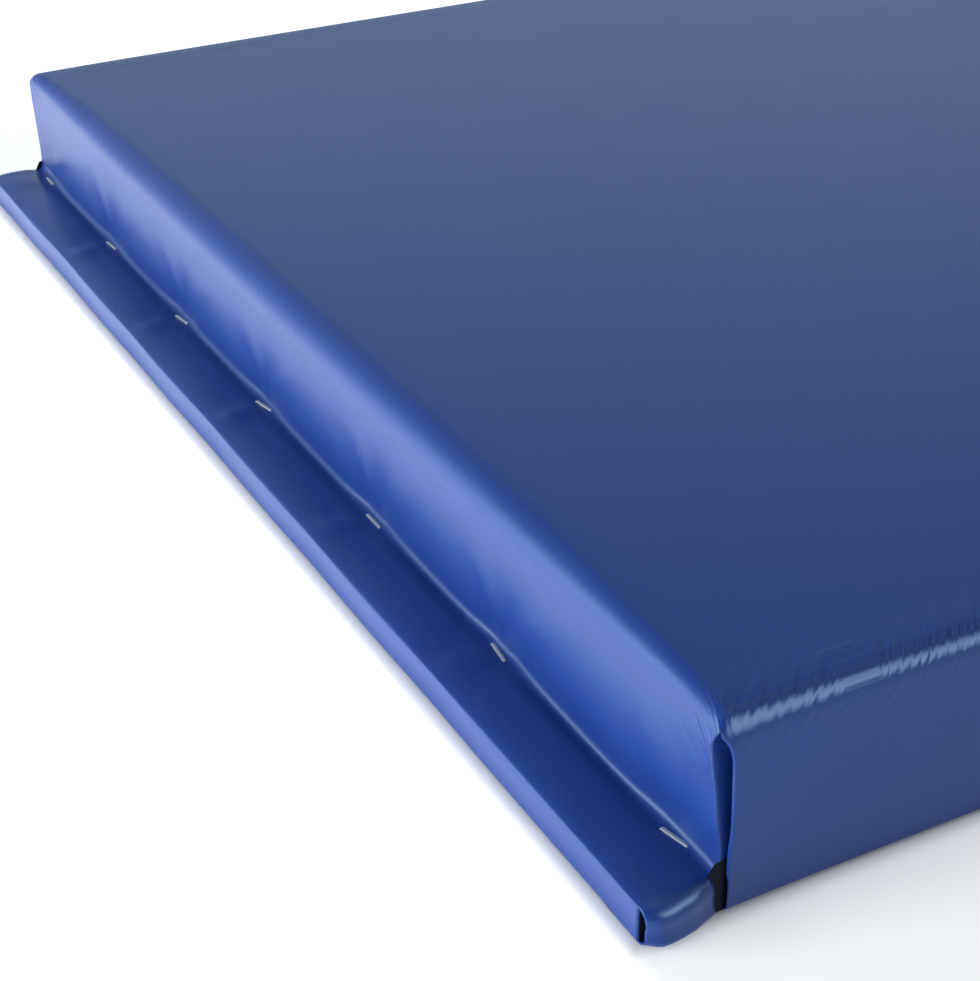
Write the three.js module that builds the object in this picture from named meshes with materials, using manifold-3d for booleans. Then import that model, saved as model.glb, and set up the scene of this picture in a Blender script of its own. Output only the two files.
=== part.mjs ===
// Board-backed gym wall pad, lying on its back, in millimetres.
// +X runs along the pad towards its top lip, +Z is up out of the padded face.
// The origin is the centre of the pad's back, on the plane it rests on.

import * as THREE from 'three';
import { mergeVertices } from 'three/addons/utils/BufferGeometryUtils.js';
import Module from 'manifold-3d';

const wasm = await Module();
wasm.setup();

// Overall
const PAD_LENGTH = 1828.8;
const PAD_WIDTH = 609.6;
const LIP_WIDTH = 24.4;

// Layers, from the back to the padded face
const VINYL = 0.7;
const BOARD_THICKNESS = 11.9;
const FOAM_THICKNESS = 50.8;
const CLEARANCE = 0.3;

// Edges of the stretched cover
const END_EDGE_RADIUS = 10;
const SIDE_EDGE_RADIUS = 5;
const BOARD_EDGE_RADIUS = 1;
const EDGE_STEPS = 4;

// Cover turned over onto the back of the board
const BACK_MARGIN = 55;

// Staples: flat wire, driven until the crown is flush with the vinyl
const CROWN = 11.1;
const LEG_LENGTH = 9.5;
const WIRE_WIDTH = 1.27;
const WIRE_THICKNESS = 0.56;
const LEG_POINT = 1.2;
const CROWN_SEAT = 0.05;

// Staples along each lip, just outside the foot of the padded block
const LIP_STAPLES = 7;
const LIP_STAPLE_FROM_SIDE = 20;
const LIP_STAPLE_FROM_GROOVE = 1.2;
const LIP_STAPLE_DRIFT = [-1, 6, 3, 8, 4, 1, 0];
const LIP_STAPLE_TURN = [12, -7, 0, 11, 7, 4, 0];

// Staples through the turned-over margin
const BACK_STAPLE_FROM_RIM = 10;
const END_STAPLES = 7;
const SIDE_STAPLES = 14;
const END_STAPLE_FROM_SIDE = 50;
const SIDE_STAPLE_FROM_END = 82;

// Derived levels and half sizes
const LINING = VINYL + CLEARANCE;
const BOARD_TOP = LINING + BOARD_THICKNESS;
const LIP_TOP = BOARD_TOP + LINING;
const FOAM_BOTTOM = BOARD_TOP + CLEARANCE;
const PAD_TOP = FOAM_BOTTOM + FOAM_THICKNESS + LINING;
const HALF_LENGTH = PAD_LENGTH / 2;
const HALF_WIDTH = PAD_WIDTH / 2;
const GROOVE = HALF_LENGTH - LIP_WIDTH;
const OVERSHOOT = 2;

const vinylFinish = new THREE.MeshStandardMaterial({ color: 0x263a86, roughness: 0.4, metalness: 0 });
const boardFinish = new THREE.MeshStandardMaterial({ color: 0xc49a62, roughness: 0.8, metalness: 0 });
const foamFinish = new THREE.MeshStandardMaterial({ color: 0xe9e2c8, roughness: 0.95, metalness: 0 });
const steelFinish = new THREE.MeshStandardMaterial({ color: 0xb9bdc0, roughness: 0.35, metalness: 0.9 });

// A closed three.js geometry as a solid that can be joined and cut
function toSolid(geometry) {
  const bare = geometry.clone();
  bare.deleteAttribute('normal');
  bare.deleteAttribute('uv');
  const merged = mergeVertices(bare);
  return new wasm.Manifold(new wasm.Mesh({
    numProp: 3,
    vertProperties: new Float32Array(merged.attributes.position.array),
    triVerts: new Uint32Array(merged.index.array),
  }));
}

// A solid as a named mesh
function toMesh(name, solid, material) {
  const { vertProperties, triVerts } = solid.getMesh();
  const geometry = new THREE.BufferGeometry();
  geometry.setAttribute('position', new THREE.BufferAttribute(vertProperties, 3));
  geometry.setIndex(new THREE.BufferAttribute(triVerts, 1));
  geometry.computeVertexNormals();
  const mesh = new THREE.Mesh(geometry, material);
  mesh.name = name;
  return mesh;
}

// A box between two heights, centred on the Z axis
function slab(length, width, bottom, top) {
  const geometry = new THREE.BoxGeometry(length, width, top - bottom);
  geometry.translate(0, 0, (bottom + top) / 2);
  return toSolid(geometry);
}

// A section with rounded corners: half its span across, from bottom to top
function roundedSection(half, bottom, top, lowRadius, highRadius) {
  const shape = new THREE.Shape();
  shape.moveTo(-half + lowRadius, bottom);
  shape.lineTo(half - lowRadius, bottom);
  if (lowRadius > 0) shape.absarc(half - lowRadius, bottom + lowRadius, lowRadius, -Math.PI / 2, 0, false);
  shape.lineTo(half, top - highRadius);
  shape.absarc(half - highRadius, top - highRadius, highRadius, 0, Math.PI / 2, false);
  shape.lineTo(-half + highRadius, top);
  shape.absarc(-half + highRadius, top - highRadius, highRadius, Math.PI / 2, Math.PI, false);
  shape.lineTo(-half, bottom + lowRadius);
  if (lowRadius > 0) shape.absarc(-half + lowRadius, bottom + lowRadius, lowRadius, Math.PI, 1.5 * Math.PI, false);
  return shape;
}

// The section seen from the long side, drawn out across the width
function acrossWidth(shape, halfWidth) {
  const geometry = new THREE.ExtrudeGeometry(shape, {
    depth: 2 * halfWidth,
    bevelEnabled: false,
    curveSegments: EDGE_STEPS,
  });
  geometry.rotateX(Math.PI / 2);
  geometry.translate(0, halfWidth, 0);
  return toSolid(geometry);
}

// The section seen from the end, drawn out along the length
function alongLength(shape, halfLength) {
  const geometry = new THREE.ExtrudeGeometry(shape, {
    depth: 2 * halfLength,
    bevelEnabled: false,
    curveSegments: EDGE_STEPS,
  });
  geometry.rotateX(Math.PI / 2);
  geometry.rotateZ(Math.PI / 2);
  geometry.translate(-halfLength, 0, 0);
  return toSolid(geometry);
}

// The board with its wrapping, drawn in by inset on every face
function boardForm(inset) {
  const radius = BOARD_EDGE_RADIUS - inset;
  const top = LIP_TOP - inset;
  const fromSide = roundedSection(HALF_LENGTH - inset, inset, top, radius, radius);
  const fromEnd = roundedSection(HALF_WIDTH - inset, inset, top, radius, radius);
  return acrossWidth(fromSide, HALF_WIDTH).intersect(alongLength(fromEnd, HALF_LENGTH));
}

// The padded block, drawn in by inset, from a given height to the padded face
function blockForm(inset, bottom) {
  const top = PAD_TOP - inset;
  const fromSide = roundedSection(GROOVE - inset, bottom, top, 0, END_EDGE_RADIUS - inset);
  const fromEnd = roundedSection(HALF_WIDTH - inset, bottom, top, 0, SIDE_EDGE_RADIUS - inset);
  return acrossWidth(fromSide, HALF_WIDTH).intersect(alongLength(fromEnd, HALF_LENGTH));
}

// Where one staple sits: its place, its turn about Z, and whether it is driven up from the back
function spot(name, x, y, turn, fromBack) {
  return { name, x, y, z: fromBack ? 0 : LIP_TOP, turn: THREE.MathUtils.degToRad(turn), fromBack };
}

// Lip staples of one end; side is -1 at the bottom lip and +1 at the top lip
function lipSpots(label, side) {
  const span = PAD_WIDTH - 2 * LIP_STAPLE_FROM_SIDE;
  const list = [];
  for (let i = 0; i < LIP_STAPLES; i += 1) {
    const k = side < 0 ? i : LIP_STAPLES - 1 - i;
    const y = -span / 2 + (span * i) / (LIP_STAPLES - 1) - side * LIP_STAPLE_DRIFT[k];
    const x = side * (GROOVE + LIP_STAPLE_FROM_GROOVE);
    list.push(spot(`${label}_lip_staple_${i + 1}`, x, y, 90 + LIP_STAPLE_TURN[k], false));
  }
  return list;
}

// Back staples across one end of the margin
function endSpots(label, side) {
  const span = PAD_WIDTH - 2 * END_STAPLE_FROM_SIDE;
  const x = side * (HALF_LENGTH - BACK_MARGIN + BACK_STAPLE_FROM_RIM);
  const list = [];
  for (let i = 0; i < END_STAPLES; i += 1) {
    const y = -span / 2 + (span * i) / (END_STAPLES - 1);
    list.push(spot(`${label}_back_staple_${i + 1}`, x, y, 90, true));
  }
  return list;
}

// Back staples along one long side of the margin
function sideSpots(label, side) {
  const span = PAD_LENGTH - 2 * SIDE_STAPLE_FROM_END;
  const y = side * (HALF_WIDTH - BACK_MARGIN + BACK_STAPLE_FROM_RIM);
  const list = [];
  for (let i = 0; i < SIDE_STAPLES; i += 1) {
    const x = -span / 2 + (span * i) / (SIDE_STAPLES - 1);
    list.push(spot(`${label}_back_staple_${i + 1}`, x, y, 0, true));
  }
  return list;
}

// A geometry drawn around a staple (crown along X, legs down) moved to its spot
function atSpot(geometry, place) {
  if (place.fromBack) geometry.rotateX(Math.PI);
  geometry.rotateZ(place.turn);
  geometry.translate(place.x, place.y, place.z);
  return toSolid(geometry);
}

// One staple: crown, two legs and their chisel points
function staple(place) {
  const half = CROWN / 2;
  const inner = half - WIRE_THICKNESS;
  const shape = new THREE.Shape();
  shape.moveTo(-half, 0);
  shape.lineTo(-half, LEG_POINT - LEG_LENGTH);
  shape.lineTo(-inner, -LEG_LENGTH);
  shape.lineTo(-inner, -WIRE_THICKNESS);
  shape.lineTo(inner, -WIRE_THICKNESS);
  shape.lineTo(inner, -LEG_LENGTH);
  shape.lineTo(half, LEG_POINT - LEG_LENGTH);
  shape.lineTo(half, 0);
  const geometry = new THREE.ExtrudeGeometry(shape, { depth: WIRE_WIDTH, bevelEnabled: false });
  geometry.rotateX(Math.PI / 2);
  geometry.translate(0, WIRE_WIDTH / 2, 0);
  return atSpot(geometry, place);
}

// A box round a staple's crown, grown by a margin, from a depth below the vinyl's face to a height
function crownBox(place, grow, depth, height) {
  const geometry = new THREE.BoxGeometry(CROWN + 2 * grow, WIRE_WIDTH + 2 * grow, depth + height);
  geometry.translate(0, 0, (height - depth) / 2);
  return atSpot(geometry, place);
}

// The two holes that a staple's legs pass down, from the crown's seat to a depth
function legHoles(place, depth) {
  const holes = [];
  for (const side of [-1, 1]) {
    const width = WIRE_THICKNESS + 2 * CLEARANCE;
    const geometry = new THREE.BoxGeometry(width, WIRE_WIDTH + 2 * CLEARANCE, depth);
    geometry.translate(side * (CROWN - WIRE_THICKNESS) / 2, 0, -depth / 2);
    holes.push(atSpot(geometry, place));
  }
  return holes;
}

const seatDepth = WIRE_THICKNESS + CROWN_SEAT;
const dimpleDepth = seatDepth + VINYL;
const dimpleGrow = CLEARANCE + VINYL;

// The vinyl cover: one skin over lips and block, turned under, pressed in at every staple
function vinylCover(places) {
  const outside = boardForm(0).add(blockForm(0, BOARD_TOP));
  const inside = boardForm(VINYL).add(blockForm(VINYL, BOARD_TOP));
  const opening = slab(PAD_LENGTH - 2 * BACK_MARGIN, PAD_WIDTH - 2 * BACK_MARGIN, -OVERSHOOT, LINING);
  const dimples = places.map((place) => crownBox(place, dimpleGrow, dimpleDepth, -VINYL / 2));
  const seats = places.map((place) => crownBox(place, CLEARANCE, seatDepth, OVERSHOOT));
  const holes = places.flatMap((place) => legHoles(place, dimpleDepth + OVERSHOOT));
  const skin = outside.subtract(inside).subtract(opening);
  return wasm.Manifold.difference([wasm.Manifold.union([skin, ...dimples]), ...seats, ...holes]);
}

// The room that the dimple round each staple needs in the board and the foam
function dimplePockets(places) {
  const grow = dimpleGrow + CLEARANCE;
  return places.map((place) => crownBox(place, grow, dimpleDepth + CLEARANCE, OVERSHOOT));
}

// The backing board, with a pocket under every dimple and a hole for every leg
function backingBoard(places) {
  const blank = slab(PAD_LENGTH - 2 * LINING, PAD_WIDTH - 2 * LINING, LINING, BOARD_TOP);
  const holes = places.flatMap((place) => legHoles(place, LEG_LENGTH + CLEARANCE));
  return wasm.Manifold.difference([blank, ...dimplePockets(places), ...holes]);
}

// The foam block on the board: its upper edges are pressed round by the cover, its foot at the lip staples
function foamCore(places) {
  return wasm.Manifold.difference([blockForm(LINING, FOAM_BOTTOM), ...dimplePockets(places)]);
}

const places = [
  ...lipSpots('bottom', -1),
  ...lipSpots('top', 1),
  ...endSpots('bottom', -1),
  ...endSpots('top', 1),
  ...sideSpots('right', -1),
  ...sideSpots('left', 1),
];

const wallPad = new THREE.Group();
wallPad.add(toMesh('backing_board', backingBoard(places), boardFinish));
wallPad.add(toMesh('foam_core', foamCore([...lipSpots('bottom', -1), ...lipSpots('top', 1)]), foamFinish));
wallPad.add(toMesh('vinyl_cover', vinylCover(places), vinylFinish));
for (const place of places) wallPad.add(toMesh(place.name, staple(place), steelFinish));

export default wallPad;
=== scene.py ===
"""Gym wall pad: vinyl stretched over foam and a strand board, stapled in the grooves and on the back."""

import math
import random

import bmesh
import bpy
from bpy.props import FloatProperty, FloatVectorProperty, PointerProperty
from mathutils import Matrix, Vector


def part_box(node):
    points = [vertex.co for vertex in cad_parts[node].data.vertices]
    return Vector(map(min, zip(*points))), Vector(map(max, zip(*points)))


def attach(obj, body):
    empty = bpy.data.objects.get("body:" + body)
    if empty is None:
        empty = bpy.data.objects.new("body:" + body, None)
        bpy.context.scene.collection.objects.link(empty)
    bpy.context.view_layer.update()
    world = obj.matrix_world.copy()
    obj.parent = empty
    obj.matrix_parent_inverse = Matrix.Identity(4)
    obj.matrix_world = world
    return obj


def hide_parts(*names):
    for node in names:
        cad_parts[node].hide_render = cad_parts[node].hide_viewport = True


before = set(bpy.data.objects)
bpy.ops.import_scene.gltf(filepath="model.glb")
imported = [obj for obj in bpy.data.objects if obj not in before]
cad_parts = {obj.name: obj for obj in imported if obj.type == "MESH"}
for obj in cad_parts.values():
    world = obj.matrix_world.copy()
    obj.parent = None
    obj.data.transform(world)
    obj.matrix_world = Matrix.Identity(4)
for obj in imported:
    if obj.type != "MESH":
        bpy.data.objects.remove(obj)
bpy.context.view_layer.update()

bl_info = {
    "name": "Gym Wall Pad",
    "version": (1, 0, 0),
    "blender": (4, 5, 0),
    "location": "3D View > Sidebar > Wall Pad",
    "description": "Builds the stretched cover, foam, board finish and staples of a gym wall pad",
    "category": "Object",
}

MM = 0.001
COVER_HIGH = Vector(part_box("vinyl_cover")[1])
BOARD_HIGH = Vector(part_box("backing_board")[1])
FOAM_LOW, FOAM_HIGH = (Vector(corner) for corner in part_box("foam_core"))

LINING = COVER_HIGH.x - BOARD_HIGH.x
HALF_LENGTH = COVER_HIGH.x
HALF_WIDTH = COVER_HIGH.y
GROOVE = FOAM_HIGH.x + LINING
LIP_WIDTH = HALF_LENGTH - GROOVE
LIP_TOP = BOARD_HIGH.z + LINING
PAD_TOP = COVER_HIGH.z


# The camera: turn, tilt and roll in degrees, place from the near corner of the groove, and lens
CAMERA_TURN = (27.47, 29.68, 0.83)
CAMERA_PLACE = (-0.24094, -0.33608, 0.36568)
CAMERA_LENS = 73.3


# ---------------------------------------------------------------- settings


class CoverSettings(bpy.types.PropertyGroup):
    """The vinyl sheet and how it is pulled over the pad."""

    thickness: FloatProperty(name="Thickness", description="Thickness of the vinyl", default=0.45 * MM,
                             unit="LENGTH")
    crown: FloatProperty(name="Crown", description="Rise of the padded face at its middle",
                         default=0.9 * MM, unit="LENGTH")
    margin: FloatProperty(name="Back margin", description="Vinyl turned over onto the back",
                          default=55 * MM, unit="LENGTH")
    colour: FloatVectorProperty(name="Colour", description="Colour of the vinyl", subtype="COLOR", size=3,
                                default=(0.012, 0.048, 0.262))
    gloss: FloatVectorProperty(name="Gloss", description="Tint of the vinyl's reflections", subtype="COLOR",
                               size=3, default=(0.62, 0.9, 1.0))
    rib_pitch: FloatProperty(name="Rib pitch", description="Spacing of the scrim that shows through",
                             default=2.0 * MM, unit="LENGTH")


class BoardSettings(bpy.types.PropertyGroup):
    """The strand board."""

    light: FloatVectorProperty(name="Light strand", description="Colour of the palest strands",
                               subtype="COLOR", size=3, default=(0.62, 0.43, 0.22))
    dark: FloatVectorProperty(name="Dark strand", description="Colour of the darkest strands",
                              subtype="COLOR", size=3, default=(0.27, 0.145, 0.055))


class FoamSettings(bpy.types.PropertyGroup):
    """The foam block."""

    colour: FloatVectorProperty(name="Colour", description="Colour of the foam", subtype="COLOR", size=3,
                                default=(0.78, 0.72, 0.52))
    relief: FloatProperty(name="Relief", description="How far the foam stays inside the stretched vinyl",
                          default=1.6 * MM, unit="LENGTH")


class StapleSettings(bpy.types.PropertyGroup):
    """The flat-wire staples."""

    crown: FloatProperty(name="Crown", description="Length of the crown", default=11.1 * MM, unit="LENGTH")
    leg: FloatProperty(name="Leg", description="Length of a leg", default=9.5 * MM, unit="LENGTH")
    width: FloatProperty(name="Width", description="Width of the flat wire", default=1.27 * MM, unit="LENGTH")
    wire: FloatProperty(name="Thickness", description="Thickness of the wire", default=0.56 * MM,
                        unit="LENGTH")
    bend: FloatProperty(name="Bend radius", description="Radius at the ends of the crown", default=0.5 * MM,
                        unit="LENGTH")
    colour: FloatVectorProperty(name="Colour", description="Colour of the wire", subtype="COLOR", size=3,
                                default=(0.74, 0.78, 0.76))


class StageSettings(bpy.types.PropertyGroup):
    """Floor, lights and camera."""

    floor: FloatProperty(name="Floor size", description="Edge of the floor", default=80.0, unit="LENGTH")
    key: FloatProperty(name="Key light", description="Power of the light at the lip end", default=33.0,
                       unit="POWER")
    overhead: FloatProperty(name="Overhead light", description="Power of the overhead light",
                            default=10.0, unit="POWER")
    edge: FloatProperty(name="Edge light", description="Power of the light that draws the near edge",
                        default=40.0, unit="POWER")
    window: FloatProperty(name="Window light", description="Power of the light mirrored in the end wall",
                          default=27.0, unit="POWER")


# ---------------------------------------------------------------- shader maths


class Wire:
    """A shader value that can be used in sums."""

    def __init__(self, finish, socket):
        self.finish = finish
        self.socket = socket

    def __add__(self, other):
        return self.finish.maths("ADD", self, other)

    __radd__ = __add__

    def __sub__(self, other):
        return self.finish.maths("SUBTRACT", self, other)

    def __rsub__(self, other):
        return self.finish.maths("SUBTRACT", other, self)

    def __mul__(self, other):
        return self.finish.maths("MULTIPLY", self, other)

    __rmul__ = __mul__


class Finish:
    """A procedural material, or the world, while its nodes are being laid."""

    def __init__(self, name, owner=None):
        self.owner = owner or bpy.data.materials.new(name)
        self.owner.use_nodes = True
        self.tree = self.owner.node_tree
        self.tree.nodes.clear()

    def node(self, kind, settings=None, output=0, **inputs):
        """A node of one type: its settings first, then its inputs by name or by position (in_0, in_1)."""
        made = self.tree.nodes.new(kind)
        for key, value in (settings or {}).items():
            if key == "stops":
                self.set_stops(made.color_ramp, value)
            else:
                setattr(made, key, value)
        for key, value in inputs.items():
            slot = int(key[3:]) if key.startswith("in_") else key.replace("_", " ")
            self.feed(made.inputs[slot], value)
        return Wire(self, made.outputs[output]) if made.outputs else None

    @staticmethod
    def set_stops(ramp, stops):
        while len(ramp.elements) < len(stops):
            ramp.elements.new(0.5)
        for element, (place, level) in zip(ramp.elements, stops):
            element.position = place
            element.color = (level, level, level, 1) if isinstance(level, (int, float)) else (*level, 1)

    def feed(self, socket, value):
        if isinstance(value, Wire):
            self.tree.links.new(value.socket, socket)
        elif socket.type == "RGBA":
            socket.default_value = (*value[:3], 1)
        else:
            socket.default_value = value

    def maths(self, operation, *values):
        settings = {"operation": operation}
        return self.node("ShaderNodeMath", settings, **{f"in_{k}": v for k, v in enumerate(values)})

    def axis(self, where, k):
        """One coordinate of a place: 0, 1 or 2 for x, y or z."""
        return self.node("ShaderNodeSeparateXYZ", output=k, Vector=where)

    def ramp(self, value, *stops):
        return self.node("ShaderNodeValToRGB", {"stops": stops}, Fac=value)

    def mix(self, factor, first, second, blend="MIX"):
        settings = {"data_type": "RGBA", "blend_type": blend}
        return self.node("ShaderNodeMix", settings, output=2, in_0=factor, in_6=first, in_7=second)

    def place(self, source="Object", scale=(1, 1, 1), turn=(0, 0, 0)):
        """Coordinates of the piece itself, scaled and turned."""
        where = self.node("ShaderNodeTexCoord", output={"Object": 3, "UV": 2}[source])
        return self.node("ShaderNodeMapping", Vector=where, Scale=scale, Rotation=turn)

    def noise(self, where, scale, detail=3.0, roughness=0.5, distortion=0.0):
        return self.node("ShaderNodeTexNoise", Vector=where, Scale=scale, Detail=detail,
                         Roughness=roughness, Distortion=distortion)

    def step(self, value, low, high):
        """0 below low, 1 above high, smooth between."""
        return self.node("ShaderNodeMapRange", {"interpolation_type": "SMOOTHSTEP"}, Value=value,
                         From_Min=low, From_Max=high, To_Min=0.0, To_Max=1.0)

    def bump(self, height, distance, strength=1.0, normal=None):
        inputs = {"Height": height, "Distance": distance, "Strength": strength}
        if normal is not None:
            inputs["Normal"] = normal
        return self.node("ShaderNodeBump", **inputs)

    def surface(self, **inputs):
        """The finished surface; inputs are Principled sockets with _ for a space."""
        shader = self.node("ShaderNodeBsdfPrincipled", **inputs)
        self.node("ShaderNodeOutputMaterial", Surface=shader)
        return self.owner


def vinyl_finish(cover):
    """Glossy coated fabric: its scrim shows as soft slanting streaks, with orange peel and a few scuffs."""
    finish = Finish("coated_vinyl")
    rib = finish.node("ShaderNodeMapping", {"vector_type": "TEXTURE"},
                      Vector=finish.node("ShaderNodeTexCoord", output=2), Rotation=(0, 0, math.radians(-34)),
                      Scale=(cover.rib_pitch, 7 * cover.rib_pitch, 1))
    streaks = finish.noise(rib, 1.0, detail=1, distortion=0.2)
    solid = finish.place("Object")
    peel = finish.noise(solid, 1100, detail=1)
    broad = finish.noise(solid, 9, detail=2)
    cloud = finish.noise(solid, 45, detail=3)
    scuffs = finish.ramp(finish.noise(solid, 160, detail=4, distortion=0.6), (0.68, 0.0), (0.78, 1.0))
    colour = Vector(cover.colour)
    shaded = finish.mix(broad, colour * 0.95, colour * 1.05)
    shaded = finish.mix(scuffs * 0.05, shaded, colour * 1.6 + Vector((0.02, 0.02, 0.02)))
    rough = 0.33 + cloud * 0.04 + scuffs * 0.05
    far_x, far_y, far_z = (finish.maths("ABSOLUTE", finish.axis(solid, k)) for k in range(3))
    near_long_edge = finish.step(far_y, HALF_WIDTH - 22 * MM, HALF_WIDTH - 4 * MM)
    near_top = finish.step(far_z, 46 * MM, 58 * MM)
    near_end = finish.step(far_x, HALF_LENGTH - 0.4, HALF_LENGTH - 30 * MM)
    taut = near_long_edge * near_top * (0.3 + 0.7 * near_end)
    relief = finish.bump(streaks * (0.18 + 1.2 * taut), 0.5 * MM, 0.6)
    relief = finish.bump(peel, 0.02 * MM, 0.3, normal=relief)
    return finish.surface(Base_Color=shaded, Roughness=rough, IOR=1.5, Normal=relief,
                          Specular_Tint=cover.gloss, Specular_IOR_Level=0.36)


def backing_painted_shade_finish():
    """The sheet's knitted backing, seen where an edge is turned back: dark polyester made near black, painted
    shade for the deep gap beside the lip's end.
    """
    finish = Finish("vinyl_reverse")
    knit = finish.node("ShaderNodeTexWave", Vector=finish.place("UV"), Scale=420.0, Distortion=1.5)
    shaded = finish.mix(knit, (0.002, 0.004, 0.012), (0.006, 0.010, 0.026))
    return finish.surface(Base_Color=shaded, Roughness=0.9, Specular_IOR_Level=0.15,
                          Normal=finish.bump(knit, 0.15 * MM, 0.6))


def strand_finish(board):
    """Oriented strand board: flat wood strands lying every way, with resin and grain."""
    finish = Finish("strand_board")
    solid = finish.place("Object")
    layers = []
    for turn, stretch in ((0.25, 7), (1.35, 6), (-0.65, 8)):
        where = finish.place("Object", scale=(9, 9 * stretch, 14), turn=(0, 0, turn))
        strands = finish.node("ShaderNodeTexVoronoi", {"feature": "F1"}, output=1, Vector=where, Scale=1.0)
        layers.append(finish.node("ShaderNodeSeparateColor", in_0=strands))
    pick = finish.noise(solid, 22, detail=1)
    over = finish.ramp(pick, (0.46, 0.0), (0.5, 1.0))
    third = finish.ramp(finish.noise(solid, 31, detail=1), (0.5, 0.0), (0.54, 1.0))
    tone = finish.mix(over, layers[0], layers[1])
    tone = finish.mix(third, tone, layers[2])
    grain = finish.noise(finish.place("Object", scale=(6, 60, 40), turn=(0, 0, 0.25)), 12, detail=4)
    light, dark = Vector(board.light), Vector(board.dark)
    colour = finish.ramp(tone, (0.0, tuple(dark)), (0.35, tuple(dark * 0.5 + light * 0.5)),
                         (1.0, tuple(light)))
    colour = finish.mix(0.35, colour, finish.ramp(grain, (0.3, tuple(dark)), (0.7, tuple(light))))
    height = finish.node("ShaderNodeSeparateColor", in_0=tone) * 0.7 + grain * 0.3
    return finish.surface(Base_Color=colour, Roughness=0.72 - 0.1 * height,
                          Normal=finish.bump(height, 0.4 * MM, 0.6))


def foam_finish(foam):
    """Open-cell foam, cut with a hot wire."""
    finish = Finish("foam_cells")
    solid = finish.place("Object")
    cells = finish.node("ShaderNodeTexVoronoi", {"feature": "DISTANCE_TO_EDGE"}, Vector=solid, Scale=700.0)
    mottle = finish.noise(solid, 60, detail=4)
    colour = Vector(foam.colour)
    shaded = finish.mix(mottle, colour * 0.86, colour * 1.08)
    shaded = finish.mix(finish.ramp(cells, (0.0, 1.0), (0.12, 0.0)), colour * 0.6, shaded)
    return finish.surface(Base_Color=shaded, Roughness=0.93,
                          Normal=finish.bump(cells, 0.5 * MM, 0.7))


def wire_finish(staple):
    """Drawn, galvanised flat wire with fine lines along it."""
    finish = Finish("galvanised_wire")
    lines = finish.noise(finish.place("Object", scale=(1, 1, 6)), 2600, detail=2)
    spots = finish.noise(finish.place("Object"), 700, detail=3)
    colour = Vector(staple.colour)
    shaded = finish.mix(spots, colour * 0.78, colour * 1.1)
    return finish.surface(Base_Color=shaded, Metallic=0.7, Roughness=0.28 + spots * 0.22,
                          Normal=finish.bump(lines, 0.02 * MM, 0.5))


# ---------------------------------------------------------------- mesh helpers


def ease(value):
    """A smooth step from 0 to 1."""
    value = min(1.0, max(0.0, value))
    return value * value * (3 - 2 * value)


def hump(distance, width):
    """A bell of height 1 whose half width is about width."""
    return math.exp(-(distance / width) ** 2)


def between(first, last, share):
    return first + (last - first) * share


def through(knots, value, smooth=float):
    """The height at value of a line through knots, each a place and a height."""
    for (first, low), (last, high) in zip(knots, knots[1:]):
        if value <= last:
            return between(low, high, smooth((value - first) / (last - first)))
    return knots[-1][1]


def round_off(mesh, geom, offset, segments, affect="EDGES"):
    """Round edges or corners."""
    bmesh.ops.bevel(mesh, geom=geom, offset=offset, segments=segments, affect=affect, profile=0.5,
                    material=-1)


def new_piece(name, shape, finish, sharp=None):
    """A mesh object from a bmesh, shaded smooth, riding on the pad."""
    mesh = bpy.data.meshes.new(name)
    shape.to_mesh(mesh)
    shape.free()
    mesh.materials.append(finish)
    mesh.shade_smooth()
    if sharp is not None:
        mesh.set_sharp_from_angle(angle=sharp)
    piece = bpy.data.objects.new(name, mesh)
    bpy.context.scene.collection.objects.link(piece)
    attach(piece, "root")
    return piece


def laid_grid(shape, columns, rows, place):
    """A grid whose point (i, j) goes where place(i, j) says; place gives a point and its flat position."""
    sheet = shape.loops.layers.uv.verify()
    made = bmesh.ops.create_grid(shape, x_segments=columns - 1, y_segments=rows - 1, size=0.5)["verts"]
    flat = {}
    cell = {}
    for vert in made:
        i = round((vert.co.x + 0.5) * (columns - 1))
        j = round((vert.co.y + 0.5) * (rows - 1))
        vert.co, flat[vert] = place(i, j)
        cell[vert] = (i, j)
    for face in {face for vert in made for face in vert.link_faces}:
        for loop in face.loops:
            loop[sheet].uv = flat[loop.vert]
    return cell


# ---------------------------------------------------------------- the cover's shape


class Stations:
    """Places along a section of the sheet, from the turned-over margin up to the padded face."""

    def __init__(self, **zones):
        self.list = [(name, k / count) for name, count in zones.items() for k in range(count)]

    def __len__(self):
        return len(self.list)

    def index(self, name, share=0.0):
        """The station of a zone that lies nearest a share of the way along it."""

        def miss(k):
            zone, t = self.list[k]
            return zone != name, abs(t - share)

        return min(range(len(self.list)), key=miss)


END = Stations(margin=5, under=3, rim=4, shoulder=9, lip=8, foot=6, wall=14, roll=12, brow=4)
SIDE = Stations(margin=6, under=4, skirt=4, low=6, wall=14, roll=12, brow=4)
END_SPLIT = END.index("roll", 0.5)
SIDE_SPLIT = SIDE.index("roll", 0.5)
CREASE = END.index("foot")
FORK = END.index("shoulder", 1 / 9)
UNDER = END.index("under")
PLEAT_ROWS = END_SPLIT - CREASE
SIDE_RADIUS = 7 * MM
SIDE_EDGE = SIDE_RADIUS * (1 - math.cos(math.pi / 4))
END_BROW = 50 * MM
SIDE_BROW = 36 * MM
MIDDLE_COLUMNS = 12
MIDDLE_ROWS = 196
FOLD_RADIUS = 0.75 * MM
FOLD_DEPTH = 20 * MM
MARGIN_LAYER = 0.5 * MM
SKIRT_DROP = 6 * MM
GROUND = 0.05 * MM
WELD = 0.002 * MM

# Steps of each corner fold across the sheet, and how many of them turn its edge
TUCK_STEPS, TUCK_TURN = 10, 5
FOLD_STEPS, FOLD_TURN = 9, 7
STRIP_STEPS, STRIP_TURN = 17, 5
FLAP_STEPS = 23
# Material slot of the near-black backing: painted shade in the gap beside the lip's end
PAINTED_SHADE_SLOT = 1

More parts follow.
